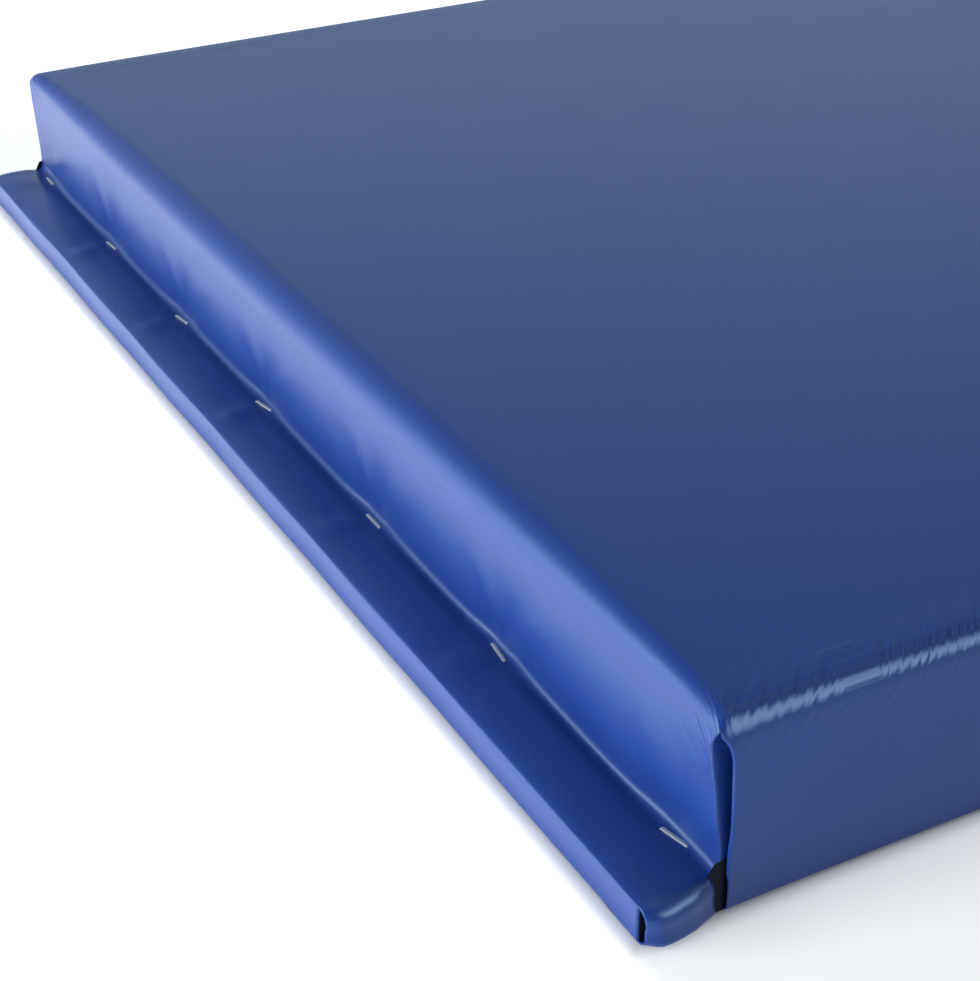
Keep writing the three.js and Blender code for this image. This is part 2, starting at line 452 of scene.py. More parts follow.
# Lines of the folds, in millimetres: how far down or out, then how far the fold stands off there
EDGE_KNOTS = [(9, 4.5), (21, 3.5), (33, 2.1), (42, 1.1), (60, 1.0)]
TIP_KNOTS = [(0.0, -0.6), (2.8, -0.2), (5.2, 0.9), (9.4, 2.2), (14, 2.8), (35, 3.0), (44, 2.5), (70, 2.5)]
FLAP_KNOTS = [(-9, -0.2), (0, -0.6), (3.2, -2.0), (8.9, -4.2), (14.2, -5.3), (18.6, -5.6), (21.6, -4.9),
              (24.2, -3.2), (40, -3.2)]


def staple_places(prefix):
    """Name, lowest and highest corner, and turn of each staple of a row, from the frame's own wire."""
    found = []
    for name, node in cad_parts.items():
        if not name.startswith(prefix):
            continue
        low, high = (Vector(corner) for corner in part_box(name))
        centre = (low + high) / 2
        points = [vert.co - centre for vert in node.data.vertices]
        xx = sum(p.x * p.x for p in points)
        yy = sum(p.y * p.y for p in points)
        xy = sum(p.x * p.y for p in points)
        found.append((name, low, high, 0.5 * math.atan2(2 * xy, xx - yy)))
    return sorted(found, key=lambda row: (row[1].x, row[1].y))


class Pull:
    """How hard the sheet is held down at each place along one groove."""

    def __init__(self, prefix, end):
        self.places = [(low.y + high.y) / 2 for _, low, high, _ in staple_places(prefix)]
        dice = random.Random(11 + end)
        self.phases = [dice.uniform(0, 2 * math.pi) for _ in range(6)]
        self.leans = [dice.uniform(-0.25, 0.25) for _ in self.places]
        self.strengths = [dice.uniform(0.75, 1.15) for _ in self.places]

    def grip(self, y, reach):
        """1 at a staple, falling to 0 beyond reach."""
        return max(hump(y - place, reach) for place in self.places)

    def crease(self, y, out, width):
        """A tension fold that runs out from each staple over the lip."""
        return max(force * hump(y - place - lean * out, width)
                   for place, lean, force in zip(self.places, self.leans, self.strengths))

    def fan(self, y, rise):
        """Tension lines that fan up the wall from each staple."""
        width = 3 * MM + 0.25 * rise
        return max(hump(y - place - slope * rise, width) for place in self.places for slope in (-0.95, 0.55))

    def sway(self, y, k):
        """A slow unevenness along the groove, between -1 and 1."""
        phase = self.phases[k]
        long_wave = math.sin(y * 2 * math.pi / 0.21 + phase)
        return 0.6 * long_wave + 0.4 * math.sin(y * 2 * math.pi / 0.087 + 2 * phase)

    def rows(self, count, reach):
        """Places across the pad, closer together at the staples."""
        steps = 1200
        grid = [between(-reach, reach, k / steps) for k in range(steps + 1)]
        load = [0.0]
        for first, last in zip(grid, grid[1:]):
            load.append(load[-1] + 1 + 3.2 * self.grip((first + last) / 2, 11 * MM))
        places = []
        k = 0
        for n in range(count):
            goal = load[-1] * n / (count - 1)
            while k < steps - 1 and load[k + 1] < goal:
                k += 1
            places.append(between(grid[k], grid[k + 1], (goal - load[k]) / (load[k + 1] - load[k])))
        return places


class CoverShape:
    """Where every point of the stretched sheet lies."""

    def __init__(self, cover):
        self.cover = cover
        self.pulls = {-1: Pull("bottom_lip", -1), 1: Pull("top_lip", 1)}
        self.rows = {end: pull.rows(MIDDLE_ROWS, HALF_WIDTH - SIDE_BROW) for end, pull in self.pulls.items()}
        self.base = PAD_TOP - cover.crown
        self.columns = 2 * len(END) + MIDDLE_COLUMNS
        self.lines = 2 * len(SIDE) + MIDDLE_ROWS
        self.back_staples = {
            side: [(low.x + high.x) / 2 for _, low, high, _ in staple_places(name)]
            for side, name in ((-1, "right_back"), (1, "left_back"))}
        self.end_flat = self.developed(END, lambda station: self.end_point(*station, 0.12, -1))
        self.side_flat = self.developed(SIDE, lambda station: self.side_point(*station, 0.05, -1)[:2])

    @staticmethod
    def developed(stations, place):
        """Flat distance of each station from the inner end of its section."""
        lengths = [0.0] * len(stations)
        for k in range(len(stations) - 2, -1, -1):
            lengths[k] = lengths[k + 1] + math.dist(place(stations.list[k]), place(stations.list[k + 1]))
        return lengths

    # sections

    def end_radius(self, y):
        """Softness of the padded face's end edge: tight at the corners, full between them."""
        inside = max(HALF_WIDTH - abs(y), 0)
        return between(4.2, 12.5, 1 - math.exp(-inside / (75 * MM))) * MM

    def end_point(self, zone, t, y, end):
        """Distance outwards from the groove plane, and height, on the section across one end."""
        pull = self.pulls[end]
        tight = pull.grip(y, 9 * MM)
        wide = pull.grip(y, 24 * MM)
        slack = 1 - wide
        crease_out = (1.7 - 0.4 * tight + 0.15 * pull.sway(y, 0)) * MM
        crease_high = LIP_TOP - (0.25 + 0.27 * tight) * MM
        reach, fall = between(17.0, 12.0, wide) * MM, between(2.9, 1.7, wide) * MM
        lip_high = LIP_TOP + (0.25 + 0.75 * slack + 0.12 * pull.sway(y, 1)) * MM
        rim_out = LIP_WIDTH + (0.1 * slack - 0.15 * wide + 0.06 * pull.sway(y, 4)) * MM
        radius = self.end_radius(y)
        foot_high = LIP_TOP + (2.4 + 1.0 * slack) * MM
        turn = 1.2 * MM
        quarter = math.pi / 2 * t
        if zone == "margin":
            width = self.cover.margin + 0.9 * MM * math.sin(y * 61) + 0.5 * MM * math.sin(y * 173)
            return rim_out - turn - width * (1 - t), MARGIN_LAYER
        if zone == "under":
            return rim_out - turn * (1 - math.sin(quarter)), MARGIN_LAYER + turn * (1 - math.cos(quarter))
        if zone == "rim":
            return (rim_out + 0.4 * MM * math.sin(math.pi * t) * slack,
                    between(MARGIN_LAYER + turn, lip_high - fall, t))
        if zone in ("shoulder", "lip"):
            if zone == "shoulder":
                out = rim_out - reach * (1 - math.cos(quarter))
                high = lip_high - fall * (1 - math.sin(quarter))
            else:
                out, high = between(rim_out - reach, crease_out, t), lip_high
            rise = ease((out - crease_out) / (between(6.0, 9.0, tight) * MM))
            fold = pull.crease(y, out - crease_out, 6.0 * MM) * 0.8 * MM * (0.3 + 0.7 * wide)
            fold *= ease(rise * 1.5) * ease((rim_out - out) / (9 * MM))
            return out, between(crease_high, high, rise) + fold
        if zone == "foot":
            out = between(crease_out, self.wall_out(0, y, end, foot_high), math.sin(quarter))
            return out, between(crease_high, foot_high, 1 - math.cos(quarter))
        if zone == "wall":
            high = between(foot_high, self.base - radius, t)
            return self.wall_out(t, y, end, high), high
        start = self.wall_out(1, y, end, self.base - radius)
        if zone == "roll":
            return start - radius * (1 - math.cos(quarter)), self.base - radius * (1 - math.sin(quarter))
        return between(start - radius, -END_BROW, t), self.base

    def wall_out(self, t, y, end, high):
        """How far the end wall stands out from the groove plane at share t of its height."""
        pull = self.pulls[end]
        rise = high - LIP_TOP
        belly = 0.7 * math.sin(math.pi * min(1, 0.1 + t * 0.9)) - 0.5
        hold = pull.grip(y, 14 * MM + 0.8 * rise) * hump(rise, 19 * MM)
        line = pull.fan(y, rise) * hump(rise - 12 * MM, 14 * MM)
        sway = pull.sway(y, 2) * 0.22 + pull.sway(y, 3) * 0.12
        corner = 1.9 * math.exp(-max(HALF_WIDTH - abs(y), 0) / (14 * MM)) * ease((high - 34 * MM) / (24 * MM))
        return (belly - 1.5 * hold + 0.6 * line + sway * (1 - 0.6 * t) + corner) * MM

    def side_point(self, zone, t, x, side):
        """Distance outwards from the long face's plane, height, and the way its outside faces."""
        radius = SIDE_RADIUS
        turn = 1.9 * MM
        quarter = math.pi / 2 * t
        low = LIP_TOP - 0.3 * MM
        foot_high = LIP_TOP + 3 * MM
        wave = 0.12 * math.sin(x * 2 * math.pi / 0.31 + 1.1) * MM
        if zone == "margin":
            # the staples stand 43 mm in from the edge of a 55 mm margin
            held = max(hump(x - place, 9 * MM) for place in self.back_staples[side])
            held *= hump((1 - t) * 55 - 43, 9)
            taper = ease((GROOVE - 2 * MM - abs(x)) / (50 * MM))
            width = (self.cover.margin + 0.8 * MM * math.sin(x * 57)) * taper + 2 * MM
            return -turn - width * (1 - t), (0.1 + 0.4 * held) * MM, -math.pi / 2
        if zone == "under":
            return (-turn * (1 - math.sin(quarter)), 0.1 * MM + turn * (1 - math.cos(quarter)),
                    quarter - math.pi / 2)
        if zone == "roll":
            return (-radius * (1 - math.cos(quarter)), self.base - radius * (1 - math.sin(quarter)), quarter)
        if zone == "brow":
            return between(-radius, -SIDE_BROW, t), self.base, math.pi / 2
        first, last = {"skirt": (turn + 0.1 * MM, low), "low": (low, foot_high),
                       "wall": (foot_high, self.base - radius)}[zone]
        high = between(first, last, t)
        share = (high - turn) / (self.base - radius - turn)
        return (0.5 * MM + wave) * math.sin(math.pi * share), high, 0.0

    def face_rise(self, x, y):
        """The gentle crown of the padded face."""
        along = 1 - (abs(x) / GROOVE) ** 6
        across = 1 - (abs(y) / HALF_WIDTH) ** 4
        return self.cover.crown * max(0.0, along) * max(0.0, across)

    # the cross

    def column(self, i):
        """Which end a column belongs to, 0 in the middle, and its station or its share of the middle."""
        if i < len(END):
            return -1, END.list[i], self.end_flat[i]
        if i >= self.columns - len(END):
            return 1, END.list[self.columns - 1 - i], self.end_flat[self.columns - 1 - i]
        return 0, (i - len(END)) / (MIDDLE_COLUMNS - 1), 0.0

    def line(self, j):
        if j < len(SIDE):
            return -1, SIDE.list[j], self.side_flat[j]
        if j >= self.lines - len(SIDE):
            return 1, SIDE.list[self.lines - 1 - j], self.side_flat[self.lines - 1 - j]
        return 0, j - len(SIDE), 0.0

    def point(self, i, j):
        """A point of the cross and its place on the flat sheet."""
        end, across, flat_x = self.column(i)
        side, along, flat_y = self.line(j)
        middle_x = GROOVE - END_BROW
        x = end * middle_x if end else between(-middle_x, middle_x, across)
        share = (x + middle_x) / (2 * middle_x)
        if side:
            out_y, high_y, _ = self.side_point(*along, x if not end else end * GROOVE, side)
            y = side * (HALF_WIDTH + out_y)
            middle_y = side * (HALF_WIDTH - SIDE_BROW)
        else:
            out_y, high_y = 0.0, self.base
            y = between(self.rows[-1][along], self.rows[1][along], share)
            middle_y = y
        flat = (x + end * flat_x, middle_y + side * flat_y)
        out_x, high_x = self.end_point(*across, y, end) if end else (0.0, self.base)
        if end:
            x = end * (GROOVE + out_x)
        drop_x, drop_y = self.base - high_x, self.base - high_y
        if end and min(i, self.columns - 1 - i) < END_SPLIT:
            inside = HALF_WIDTH - abs(y)
            if side:
                shift = self.edge_inside(*across, drop_x) - SIDE_EDGE
                inside += shift * (1 - (inside - SIDE_EDGE) / (SIDE_BROW - SIDE_EDGE))
                y = side * (HALF_WIDTH - inside)
            high = high_x - drop_y * (1 - ease(drop_x / (16 * MM)))
        elif side and min(j, self.lines - 1 - j) < SIDE_SPLIT:
            inside = GROOVE - abs(x)
            if end:
                out_y, high_y, _ = self.side_point(*along, x, side)
                edge = -self.end_point("roll", 0.5, y, end)[0]
                shift = self.tip(drop_y, end, side) + FOLD_RADIUS - edge
                shift *= ease((drop_y - 2 * MM) / (4 * MM))
                inside += shift * (1 - (inside - edge) / (END_BROW - edge))
                x = end * (GROOVE - inside)
            y = side * (HALF_WIDTH + out_y + self.proud(inside, drop_y, along[0], along[1]))
            high = high_y - drop_x * (1 - ease(drop_y / (16 * MM)))
        else:
            high = self.base - drop_x - drop_y
        if high > self.base - 12 * MM:
            high += self.face_rise(x, y)
        beside = max(GROOVE - abs(x), 0) + max(HALF_WIDTH - abs(y), 0)
        high -= 0.7 * MM * math.exp(-beside / (30 * MM)) * ease((high - 36 * MM) / (24 * MM))
        return Vector((x, y, high)), flat

    @staticmethod
    def edge_inside(zone, t, drop):
        """How far the end panel's own last line stays from the long face's plane."""
        if zone in ("margin", "under"):
            return 0.9 * MM
        if zone == "rim":
            return (0.9 + 0.5 * math.sin(math.pi * t)) * MM
        if zone == "shoulder":
            return between(0.9, 2.2, ease(t)) * MM
        if zone == "lip":
            return between(2.2, 1.6, ease(t)) * MM
        if zone == "foot":
            return between(1.6, 1.0, t) * MM
        edge = through(EDGE_KNOTS, max(drop / MM, EDGE_KNOTS[0][0])) * MM
        return between(SIDE_EDGE, edge, ease((drop - 1.0 * MM) / (6 * MM)))

    def proud(self, inside, drop, zone, t):
        """How far the long wall stands out over the layers folded behind its end."""
        lifted = 1.25 * MM * math.exp(-inside / (20 * MM)) * ease((drop - 1.3 * MM) / (8 * MM))
        if zone == "margin":
            return 0.0
        return lifted * (t if zone == "under" else 1)

    @staticmethod
    def tip(drop, end, side):
        """How far the folded edge of the long wall stays from the groove plane."""
        drop /= MM
        wave = 0.0 if (end, side) == (-1, -1) else 0.35 * math.sin(drop / 9 + end + 2 * side)
        return (through(TIP_KNOTS, drop, ease) + wave) * MM


# ---------------------------------------------------------------- laying the cover


class CoverSheet:
    """Lays the sheet in one bmesh: a cross over the pad, then the folds at its four corners."""

    def __init__(self, cover):
        self.shape = CoverShape(cover)
        self.mesh = bmesh.new()

    def lay_cross(self):
        columns, lines = self.shape.columns, self.shape.lines
        cell = laid_grid(self.mesh, columns, lines, self.shape.point)
        spare = []
        for face in self.mesh.faces:
            i = min(cell[vert][0] for vert in face.verts)
            j = min(cell[vert][1] for vert in face.verts)
            beyond_end = i < END_SPLIT or i >= columns - 1 - END_SPLIT
            beyond_side = j < SIDE_SPLIT or j >= lines - 1 - SIDE_SPLIT
            if beyond_end and beyond_side:
                spare.append(face)
        bmesh.ops.delete(self.mesh, geom=spare, context="FACES")

    def lay_corner(self, end, side):
        """The folds at one corner: the pleat over the vertical edge, then the wrapping of the lip's end."""
        shape = self.shape

        def end_edge(k):
            """Point k of the end arm's own edge, counted from the margin."""
            i = k if end < 0 else shape.columns - 1 - k
            j = SIDE_SPLIT if side < 0 else shape.lines - 1 - SIDE_SPLIT
            return shape.point(i, j)

        def side_edge(k):
            i = END_SPLIT if end < 0 else shape.columns - 1 - END_SPLIT
            j = k if side < 0 else shape.lines - 1 - k
            return shape.point(i, j)

        def spot(out, inside, high):
            return Vector((end * (GROOVE + out), side * (HALF_WIDTH - inside), high))

        def local(point):
            return abs(point.x) - GROOVE, HALF_WIDTH - abs(point.y), point.z

        def cut(depth):
            """Share of the way into the short cut that frees the lip's wrapping from the pleat."""
            return ease((depth - 43.5 * MM) / (6.5 * MM))

        def inner_fold(row):
            """The hidden line where the pleat turns back on itself."""
            first, last = end_edge(END_SPLIT - row)[0], side_edge(SIDE_SPLIT - row)[0]
            high = (first.z + last.z) / 2
            depth = shape.base - high
            share = ease((depth - 2.6 * MM) / (7 * MM))
            out, inside, _ = local((first + last) / 2)
            low = cut(depth)
            return spot(between(out, -between(min(depth, FOLD_DEPTH), 10 * MM, low), share),
                        between(inside, between(1.7, 0.9, low) * MM, share), high)

        def tuck(row, step):
            """The end panel turning the vertical edge and going in under the long panel."""
            start, flat = end_edge(END_SPLIT - row)
            flat = (flat[0], flat[1] + side * step * 2.2 * MM)
            if step == 0:
                return start, flat
            if step == TUCK_STEPS:
                return inner_fold(row), flat
            out, inside, high = local(start)
            depth = shape.base - high
            share = ease((depth - 2.4 * MM) / (4.5 * MM))
            radius = 0.6 * MM * share
            turned = min(1.0, step / TUCK_TURN)
            angle = math.pi / 2 * turned
            face = between(inside, max(inside - radius, 0.5 * MM), math.sin(angle))
            where = spot(out - radius * (1 - math.cos(angle)), face, high)
            tail = spot(between(out, 1.0 * MM, turned), between(inside, 0.45 * MM, math.sin(angle)),
                        high - SKIRT_DROP * (1 - math.cos(angle)))
            if step > TUCK_TURN:
                inwards = (step - TUCK_TURN) / (TUCK_STEPS - TUCK_TURN)
                where = where.lerp(inner_fold(row), inwards)
                where.y -= side * 1.6 * MM * math.sin(math.pi * inwards) * share * (1 - cut(depth))
                tail = tail.lerp(inner_fold(row) - Vector((0, 0, SKIRT_DROP)), inwards)
            return where.lerp(tail, cut(depth)), flat

        def fold(row, step):
            """The long panel's folded edge and the layer that goes back under it."""
            k = SIDE_SPLIT - row
            start, flat = side_edge(k)
            flat = (flat[0] - end * step * 1.5 * MM, flat[1])
            zone, t = SIDE.list[k]
            if step == 0:
                return start, flat
            if step == FOLD_STEPS and row <= PLEAT_ROWS:
                return inner_fold(row), flat
            out, inside, high = local(start)
            depth = shape.base - high
            on_wall = zone in ("wall", "low", "roll")
            faces = shape.side_point(zone, t, start.x, side)[2]
            share = ease((depth - 3.0 * MM) / (4 * MM))
            radius = FOLD_RADIUS * share * (1.0 if on_wall else 0.45)
            if step <= FOLD_TURN:
                angle = math.pi * step / FOLD_TURN
                along, inwards = radius * math.sin(angle), radius * (1 - math.cos(angle))
            else:
                reach = (min(depth, FOLD_DEPTH) if on_wall else 9 * MM) * share
                along = -(step - FOLD_TURN) / (FOLD_STEPS - FOLD_TURN) * reach
                inwards = 2 * radius + shape.proud(-out, depth, zone, t)
                inwards -= shape.proud(-out - along, depth, zone, t)
            return spot(out + along, inside + inwards * math.cos(faces),
                        high - inwards * math.sin(faces)), flat

        def flap(k, step):
            """The lip's wrapping turned down over the lip's end and in underneath."""
            start, flat = end_edge(FORK + k)
            flat = (flat[0], flat[1] + side * step * 1.6 * MM)
            if step == 0:
                return start, flat
            out, inside, high = local(start)
            face = through(FLAP_KNOTS, out / MM) * MM
            share_out = min(1.0, max(0.0, out / LIP_WIDTH))
            roll, down, under = 7, 13, 19
            foot = 2.8 * MM
            shoulder = 4.6 * MM
            tail = 1.4 * MM * ease((out - 19 * MM) / (5 * MM))
            if step <= roll:
                angle = math.pi / 2 * step / roll
                inside = between(inside, face, math.sin(angle))
                high -= shoulder * (1 - math.cos(angle))
            elif step <= down:
                share = (step - roll) / (down - roll)
                inside = face + 0.3 * MM * math.sin(math.pi * share) + tail * ease(share) * 0.5
                high = between(high - shoulder, GROUND + foot, share)
            elif step <= under:
                angle = math.pi / 2 * (step - down) / (under - down)
                inside = face + foot * (1 - math.cos(angle)) + tail * (0.5 + 0.5 * math.sin(angle))
                high = GROUND + foot * (1 - math.sin(angle))
            else:
                inside = face + foot + tail + (step - under) * 4 * MM
                high = GROUND
            fallen = min(1.0, step / down)
            out -= 0.8 * MM * fallen * (1 - share_out)
            out -= 0.5 * MM * fallen * share_out ** 6
            return spot(out, inside, high), flat

        def strip(k, step):
            """The lip's outer face turned round the board's corner, under the flap."""
            start, flat = end_edge(UNDER + k)
            flat = (flat[0], flat[1] + side * step * 1.2 * MM)
            if step == 0:
                return start, flat
            out, inside, high = local(start)
            radius = 0.8 * MM
            if step <= STRIP_TURN:
                angle = math.pi / 2 * step / STRIP_TURN
                return spot(out - radius * (1 - math.cos(angle)),
                            between(inside, 0.35 * MM, math.sin(angle)), high), flat
            share = (step - STRIP_TURN) / (STRIP_STEPS - STRIP_TURN)
            along = between(out - radius, -4 * MM, share)
            rise = between(0.5, 5.0, ease((3 * MM - along) / (3 * MM))) * MM
            high += rise * ease((high - 8 * MM) / (4 * MM)) * min(1.0, share * 6)
            return spot(along, 0.35 * MM, high), flat

        laid_grid(self.mesh, PLEAT_ROWS + 1, TUCK_STEPS + 1, tuck)
        laid_grid(self.mesh, SIDE_SPLIT + 1, FOLD_STEPS + 1, fold)
        laid_grid(self.mesh, CREASE - FORK + 1, FLAP_STEPS + 1, flap)
        cell = laid_grid(self.mesh, FORK - UNDER + 1, STRIP_STEPS + 1, strip)
        # the strip's turned part takes the near-black backing: painted shade for the gap under the flap
        for face in {face for vert in cell for face in vert.link_faces}:
            if min(cell[vert][1] for vert in face.verts) >= STRIP_TURN:
                face.material_index = PAINTED_SHADE_SLOT

    def build(self):
        self.lay_cross()
        for end in (-1, 1):
            for side in (-1, 1):
                self.lay_corner(end, side)
        bmesh.ops.remove_doubles(self.mesh, verts=self.mesh.verts, dist=WELD)
        bmesh.ops.recalc_face_normals(self.mesh, faces=self.mesh.faces)
        return self.mesh


# ---------------------------------------------------------------- operators


class WALLPAD_OT_cover(bpy.types.Operator):
    """Lay the vinyl sheet over the pad and fold it at the corners"""

    bl_idname = "wallpad.cover"
    bl_label = "Vinyl Cover"

    def execute(self, context):
        cover = context.scene.wallpad_cover
        sheet = CoverSheet(cover)
        piece = new_piece("stretched_cover", sheet.build(), vinyl_finish(cover))
        # second slot: the near-black backing, painted shade for the gap beside the lip's end
        piece.data.materials.append(backing_painted_shade_finish())
        skin = piece.modifiers.new("Skin", "SOLIDIFY")
        skin.thickness = cover.thickness
        skin.offset = -1
        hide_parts("vinyl_cover")
        return {"FINISHED"}


class WALLPAD_OT_board(bpy.types.Operator):
    """Give the backing board its strand finish"""

    bl_idname = "wallpad.board"
    bl_label = "Backing Board"

    def execute(self, context):
        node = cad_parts["backing_board"]
        node.data.materials.clear()
        node.data.materials.append(strand_finish(context.scene.wallpad_board))
        return {"FINISHED"}


class WALLPAD_OT_foam(bpy.types.Operator):
    """Make the foam block"""

    bl_idname = "wallpad.foam"
    bl_label = "Foam Block"

    def execute(self, context):
        foam = context.scene.wallpad_foam
        mesh = bmesh.new()
        bmesh.ops.create_cube(mesh, size=1.0)
        size = FOAM_HIGH - FOAM_LOW - Vector((2, 2, 1)) * foam.relief
        bmesh.ops.scale(mesh, vec=size, verts=mesh.verts)
        low = FOAM_LOW.z + size.z / 2
        bmesh.ops.translate(mesh, vec=(0, 0, low), verts=mesh.verts)
        uprights = [edge for edge in mesh.edges if abs(edge.verts[0].co.z - edge.verts[1].co.z) > 1 * MM]
        round_off(mesh, uprights, 14 * MM, 8)
        top = max(vert.co.z for vert in mesh.verts) - 1 * MM
        rims = [edge for edge in mesh.edges if all(vert.co.z > top for vert in edge.verts)]
        round_off(mesh, rims, 6 * MM, 5)
        piece = new_piece("foam_block", mesh, foam_finish(foam), sharp=math.radians(50))
        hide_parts("foam_core")
        return {"FINISHED"}


def wire_profile(shape, width, thickness):
    """One flat face across the wire, with rounded corners; its normal is the wire's own direction."""
    made = bmesh.ops.create_grid(shape, x_segments=1, y_segments=1, size=0.5)["verts"]
    bmesh.ops.scale(shape, vec=(thickness, width, 1), verts=made)
    round_off(shape, made, 0.12 * MM, 2, affect="VERTICES")
    return shape.faces[:][-1]


def bent_wire(settings, crown, leg):
    """A flat-wire staple: crown along X with its top at zero, legs down."""
    shape = bmesh.new()
    half = crown / 2 - settings.wire / 2
    radius = settings.bend
    stops = [((-half, -leg), 0, 0.25), ((-half, -leg + 1.6 * MM), 0, 1.0)]
    bend_x, bend_z = -half + radius, -settings.wire / 2 - radius
    for k in range(6):
        angle = math.pi / 2 * k / 5
        spot = (bend_x - radius * math.cos(angle), bend_z + radius * math.sin(angle))
        stops.append((spot, angle, 1.0))
    for (x, z), angle, size in reversed(stops[:]):
        stops.append(((-x, z), math.pi - angle, size))
    face = wire_profile(shape, settings.width, settings.wire)
    verts = list(face.verts)
    before = Matrix.Identity(4)
    for k, ((x, z), angle, size) in enumerate(stops):
        if k:
            made = bmesh.ops.extrude_face_region(shape, geom=[face])["geom"]
            if k > 1:
                bmesh.ops.delete(shape, geom=[face], context="FACES_ONLY")
            verts = [item for item in made if isinstance(item, bmesh.types.BMVert)]
            face = next(item for item in made if isinstance(item, bmesh.types.BMFace))
        after = Matrix.Translation((x, 0, z)) @ Matrix.Rotation(angle, 4, "Y") @ Matrix.Diagonal(
            (size, 1, 1, 1))
        bmesh.ops.transform(shape, matrix=after @ before.inverted(), verts=verts)
        before = after
    bmesh.ops.recalc_face_normals(shape, faces=shape.faces)
    return shape


def set_staple(settings, finish, name, centre, turn, up, node=None):
    """One staple at its place: on the lip its crown faces up, on the back it faces down."""
    shape = bent_wire(settings, settings.crown, settings.leg)
    if not up:
        bmesh.ops.rotate(shape, verts=shape.verts, matrix=Matrix.Rotation(math.pi, 3, "X"))
    bmesh.ops.rotate(shape, verts=shape.verts, matrix=Matrix.Rotation(turn, 3, "Z"))
    bmesh.ops.translate(shape, verts=shape.verts, vec=centre)
    piece = new_piece(name, shape, finish, sharp=math.radians(40))
    if node:
        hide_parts(node)


class WALLPAD_OT_staples(bpy.types.Operator):
    """Drive the staples of both lips and of the back"""

    bl_idname = "wallpad.staples"
    bl_label = "Staples"

    def execute(self, context):
        settings = context.scene.wallpad_staple
        finish = wire_finish(settings)
        for row in ("bottom_lip", "top_lip", "bottom_back", "top_back", "right_back", "left_back"):
            up = row.endswith("lip")
            places = staple_places(f"{row}_staple")
            for name, low, high, turn in places:
                centre = (low + high) / 2
                centre.z = high.z if up else low.z
                set_staple(settings, finish, f"{name}_wire", centre, turn, up, name)
            if row in ("right_back", "left_back"):
                for k, (first, last) in enumerate(zip(places, places[1:])):
                    middle = (first[1] + first[2] + last[1] + last[2]) / 4
                    middle.z = first[1].z
                    name = f"{row}_between_{k + 1}_wire"
                    set_staple(settings, finish, name, middle, 0.05 * math.sin(3 * k), False)
        return {"FINISHED"}


class WALLPAD_OT_stage(bpy.types.Operator):
    """Set out the floor, the lights and the camera"""

    bl_idname = "wallpad.stage"
    bl_label = "Stage"

    def execute(self, context):
        stage = context.scene.wallpad_stage
        lay_floor(stage)
        fill_world(context.scene)
        soft_light("key_light", (-2.9, 0.3, 0.62), (-0.9, 0.0, 0.03), (1.8, 0.9), stage.key)
        soft_light("overhead_light", (-0.3, 0.0, 2.0), (-0.3, 0.0, 0.05), (2.0, 1.4), stage.overhead)
        edge = soft_light("edge_light", (-0.16, -1.47, 0.94), (-0.6, -0.3, 0.06), (1.4, 0.9), stage.edge)
        window = soft_light("window_light", (-3.0, 1.15, 0.6), (-0.9, -0.2, 0.05), (1.6, 1.2), stage.window)
        edge.visible_diffuse = False
        window.visible_diffuse = False
        set_camera(context.scene)
        context.scene.view_settings.view_transform = "Standard"
        return {"FINISHED"}


def lay_floor(stage):
    mesh = bmesh.new()
    bmesh.ops.create_grid(mesh, x_segments=2, y_segments=2, size=stage.floor / 2)
    bmesh.ops.translate(mesh, vec=(0, 0, -0.1 * MM), verts=mesh.verts)
    finish = Finish("studio_floor")
    where = finish.node("ShaderNodeTexCoord", output=3)
    x, y = (finish.axis(where, k) for k in range(2))
    far_x, far_y = finish.maths("ABSOLUTE", x), finish.maths("ABSOLUTE", y)
    beside = finish.maths("MAXIMUM", far_x - HALF_LENGTH, far_y - HALF_WIDTH)
    # Painted shade: no emission under the pad, rising to full 7 mm beyond its edge, so the pad's foot and
    # underside stay dark
    glow = finish.step(beside, -4 * MM, 7 * MM)
    # Painted light: a band of floor just beyond the lip's end glows far brighter than the rest, for the end
    # wall to mirror
    before_end = 0 - x - HALF_LENGTH
    painted_light_pool = finish.step(before_end, 0, 14 * MM) * (1 - finish.step(before_end, 0.15, 1.6))
    painted_light_pool = painted_light_pool * (1 - finish.step(y, 0.5, 2.2)) * (1 - finish.step(0 - y, 0.22, 0.9))
    # Painted shade: the floor beside the pad glows dimmer than the open floor further out
    away_from_painted_shade = finish.step(beside, 60 * MM, 260 * MM)
    mottle = finish.noise(where, 3, detail=2)
    level = finish.mix(away_from_painted_shade, (0.46, 0.46, 0.45), (0.68, 0.68, 0.67))
    level = finish.mix(painted_light_pool, level, (1.75, 1.75, 1.7))
    pale = finish.surface(Base_Color=finish.mix(mottle, (0.9, 0.9, 0.9), (0.92, 0.92, 0.92)), Roughness=0.6,
                          Emission_Color=finish.mix(glow, (0, 0, 0), level), Emission_Strength=1.0)
    data = bpy.data.meshes.new("floor")
    mesh.to_mesh(data)
    mesh.free()
    data.materials.append(pale)
    floor = bpy.data.objects.new("floor", data)
    bpy.context.scene.collection.objects.link(floor)


def fill_world(scene):
    """A studio that is pale low down behind the pad and dark in front of it."""
    scene.world = bpy.data.worlds.new("studio")
    finish = Finish("studio", scene.world)
    where = finish.node("ShaderNodeTexCoord", output=0)
    rise = finish.axis(where, 2)
    glow = finish.ramp(rise, (0.0, 1.0), (0.2, 0.6), (0.48, 0.48), (0.7, 0.15), (1.0, 0.2))
    turned = finish.node("ShaderNodeMapping", Vector=where, Rotation=(0, 0, math.radians(-25)))
    behind = finish.axis(turned, 1)
    side = finish.node("ShaderNodeMapRange", {"interpolation_type": "SMOOTHSTEP"}, Value=behind,
                       From_Min=-0.4, From_Max=0.5, To_Min=0.1, To_Max=1.0)
    tone = finish.mix(1.0, glow, side, blend="MULTIPLY")
    tone = finish.mix(1.0, tone, (0.82, 0.97, 1.06), blend="MULTIPLY")
    light = finish.node("ShaderNodeBackground", Color=tone, Strength=1.5)
    finish.node("ShaderNodeOutputWorld", Surface=light)


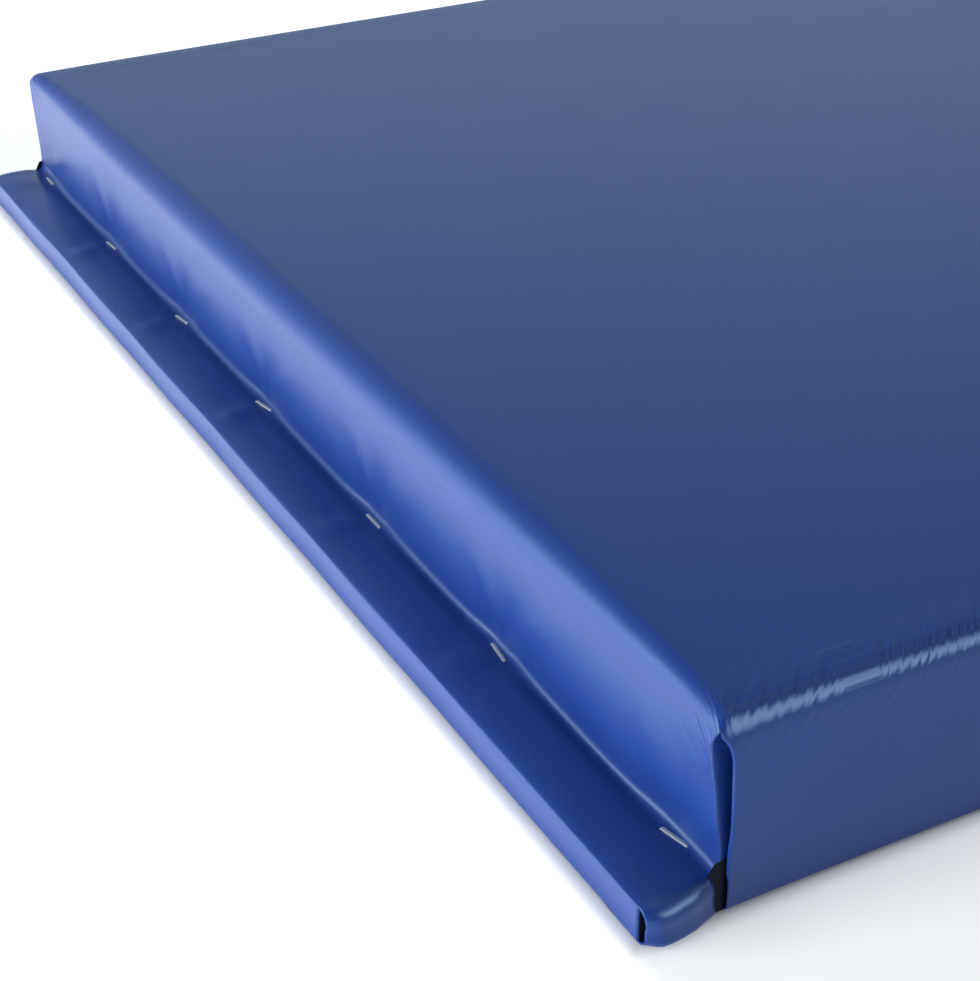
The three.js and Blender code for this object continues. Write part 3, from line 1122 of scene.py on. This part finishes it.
def soft_light(name, place, aim, size, power):
    data = bpy.data.lights.new(name, "AREA")
    data.shape = "RECTANGLE"
    data.size, data.size_y = size
    data.energy = power
    light = bpy.data.objects.new(name, data)
    light.location = place
    light.rotation_euler = (Vector(aim) - Vector(place)).to_track_quat("-Z", "Y").to_euler()
    bpy.context.scene.collection.objects.link(light)
    return light


def set_camera(scene):
    """Stands at the bottom lip's near corner and looks along the pad."""
    yaw, pitch, roll = (math.radians(angle) for angle in CAMERA_TURN)
    corner = Vector((-GROOVE, -HALF_WIDTH, 0))
    data = bpy.data.cameras.new("camera")
    data.lens = CAMERA_LENS
    data.clip_start = 0.02
    camera = bpy.data.objects.new("camera", data)
    ahead = Vector((math.sin(yaw) * math.cos(pitch), math.cos(yaw) * math.cos(pitch), -math.sin(pitch)))
    right = Vector((math.cos(yaw), -math.sin(yaw), 0))
    down = ahead.cross(right)
    turned = math.cos(roll) * right + math.sin(roll) * down
    below = -math.sin(roll) * right + math.cos(roll) * down
    camera.matrix_world = Matrix.Translation(corner + Vector(CAMERA_PLACE)) @ Matrix(
        (turned, -below, -ahead)).transposed().to_4x4()
    scene.collection.objects.link(camera)
    scene.camera = camera


class WALLPAD_PT_panel(bpy.types.Panel):
    """The pad's sizes, colours and steps"""

    bl_idname = "WALLPAD_PT_panel"
    bl_label = "Wall Pad"
    bl_space_type = "VIEW_3D"
    bl_region_type = "UI"
    bl_category = "Wall Pad"

    def draw(self, context):
        for attribute, kind in SETTINGS.items():
            box = self.layout.box()
            group = getattr(context.scene, attribute)
            for name in kind.__annotations__:
                box.prop(group, name)
        for step in STEPS:
            self.layout.operator(step.bl_idname)


SETTINGS = {
    "wallpad_cover": CoverSettings,
    "wallpad_board": BoardSettings,
    "wallpad_foam": FoamSettings,
    "wallpad_staple": StapleSettings,
    "wallpad_stage": StageSettings,
}
STEPS = (WALLPAD_OT_stage, WALLPAD_OT_board, WALLPAD_OT_foam, WALLPAD_OT_cover, WALLPAD_OT_staples)


def register():
    for kind in (*SETTINGS.values(), *STEPS, WALLPAD_PT_panel):
        bpy.utils.register_class(kind)
    for attribute, kind in SETTINGS.items():
        setattr(bpy.types.Scene, attribute, PointerProperty(type=kind))


def unregister():
    for attribute in SETTINGS:
        delattr(bpy.types.Scene, attribute)
    for kind in reversed((*SETTINGS.values(), *STEPS, WALLPAD_PT_panel)):
        bpy.utils.unregister_class(kind)


def main():
    register()
    for step in STEPS:
        group, name = step.bl_idname.split(".")
        getattr(getattr(bpy.ops, group), name)()
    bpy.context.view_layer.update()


if __name__ == "__main__":
    main()
